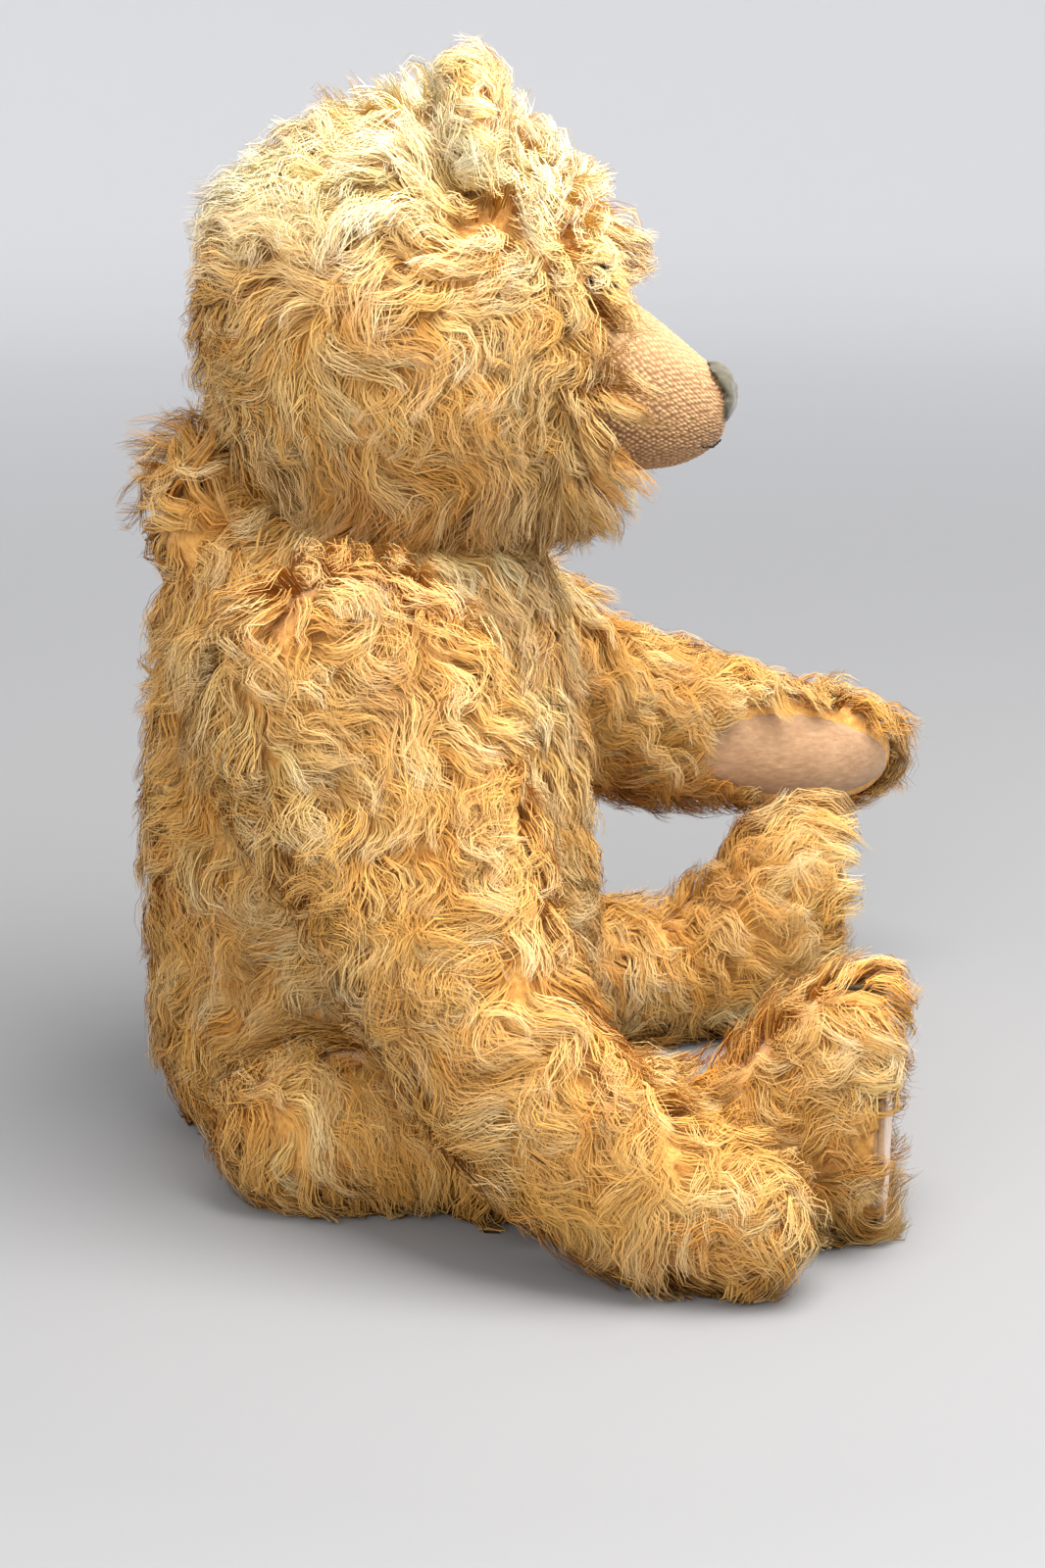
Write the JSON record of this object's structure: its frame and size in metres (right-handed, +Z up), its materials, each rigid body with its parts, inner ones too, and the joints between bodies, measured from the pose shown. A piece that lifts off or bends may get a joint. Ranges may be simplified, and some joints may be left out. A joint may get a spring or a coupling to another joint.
{
  "type": "jointed teddy bear",
  "caption": "Seated mohair teddy bear with a clipped muzzle and felt paw pads, whose head, arms and legs turn on disc joints.",
  "frame": {"origin": "on the surface that the bear sits on, under the middle of its bounding box", "axes": "+Z up, the bear faces -Y, its left side is at +X"},
  "size_m": [0.3358, 0.2619, 0.355],
  "materials": {
    "mohair": "matte",
    "clipped_mohair": "matte",
    "felt": "matte",
    "nose_felt": "matte",
    "thread": "matte",
    "stuffing": "matte",
    "fibreboard": "matte",
    "steel": "satin",
    "eye": "gloss"
  },
  "bodies": {
    "torso": {"torso_left_panel": "mohair", "torso_right_panel": "mohair", "torso_stuffing": "stuffing", "torso_neck_disc": "fibreboard", "torso_left_shoulder_disc": "fibreboard", "torso_right_shoulder_disc": "fibreboard", "torso_left_hip_disc": "fibreboard", "torso_right_hip_disc": "fibreboard"},
    "head": {"head_left_panel": "mohair", "head_right_panel": "mohair", "head_gusset": "mohair", "muzzle": "clipped_mohair", "head_stuffing": "stuffing", "nose": "nose_felt", "mouth_stitches": "thread", "left_ear": "mohair", "right_ear": "mohair", "left_eye": "eye", "right_eye": "eye", "eye_shanks": "steel", "neck_disc": "fibreboard", "neck_bolt": "steel", "neck_washers": "steel", "neck_lock_nut": "steel"},
    "left_arm": {"left_arm_outer_panel": "mohair", "left_arm_inner_panel": "mohair", "left_arm_stuffing": "stuffing", "left_paw_pad": "felt", "left_shoulder_disc": "fibreboard", "left_shoulder_bolt": "steel", "left_shoulder_washers": "steel", "left_shoulder_lock_nut": "steel"},
    "right_arm": {"right_arm_outer_panel": "mohair", "right_arm_inner_panel": "mohair", "right_arm_stuffing": "stuffing", "right_paw_pad": "felt", "right_shoulder_disc": "fibreboard", "right_shoulder_bolt": "steel", "right_shoulder_washers": "steel", "right_shoulder_lock_nut": "steel"},
    "left_leg": {"left_leg_outer_panel": "mohair", "left_leg_inner_panel": "mohair", "left_leg_stuffing": "stuffing", "left_sole_pad": "felt", "left_claw_stitches": "thread", "left_hip_disc": "fibreboard", "left_hip_bolt": "steel", "left_hip_washers": "steel", "left_hip_lock_nut": "steel"},
    "right_leg": {"right_leg_outer_panel": "mohair", "right_leg_inner_panel": "mohair", "right_leg_stuffing": "stuffing", "right_sole_pad": "felt", "right_claw_stitches": "thread", "right_hip_disc": "fibreboard", "right_hip_bolt": "steel", "right_hip_washers": "steel", "right_hip_lock_nut": "steel"}
  },
  "joints": [
    {"name": "neck", "type": "hinge", "parent": "torso", "child": "head", "pos_m": [0, 0.04485, 0.2113], "axis": [0, 0, -1], "continuous": true},
    {"name": "left_shoulder", "type": "hinge", "parent": "torso", "child": "left_arm", "pos_m": [0.051, 0.06585, 0.163], "axis": [-1, 0, 0], "continuous": true},
    {"name": "right_shoulder", "type": "hinge", "parent": "torso", "child": "right_arm", "pos_m": [-0.051, 0.06585, 0.163], "axis": [-1, 0, 0], "continuous": true},
    {"name": "left_hip", "type": "hinge", "parent": "torso", "child": "left_leg", "pos_m": [0.051, 0.07485, 0.026], "axis": [-1, 0, 0], "range_deg": [-180, 4]},
    {"name": "right_hip", "type": "hinge", "parent": "torso", "child": "right_leg", "pos_m": [-0.051, 0.07485, 0.026], "axis": [-1, 0, 0], "range_deg": [-180, 6]}
  ]
}
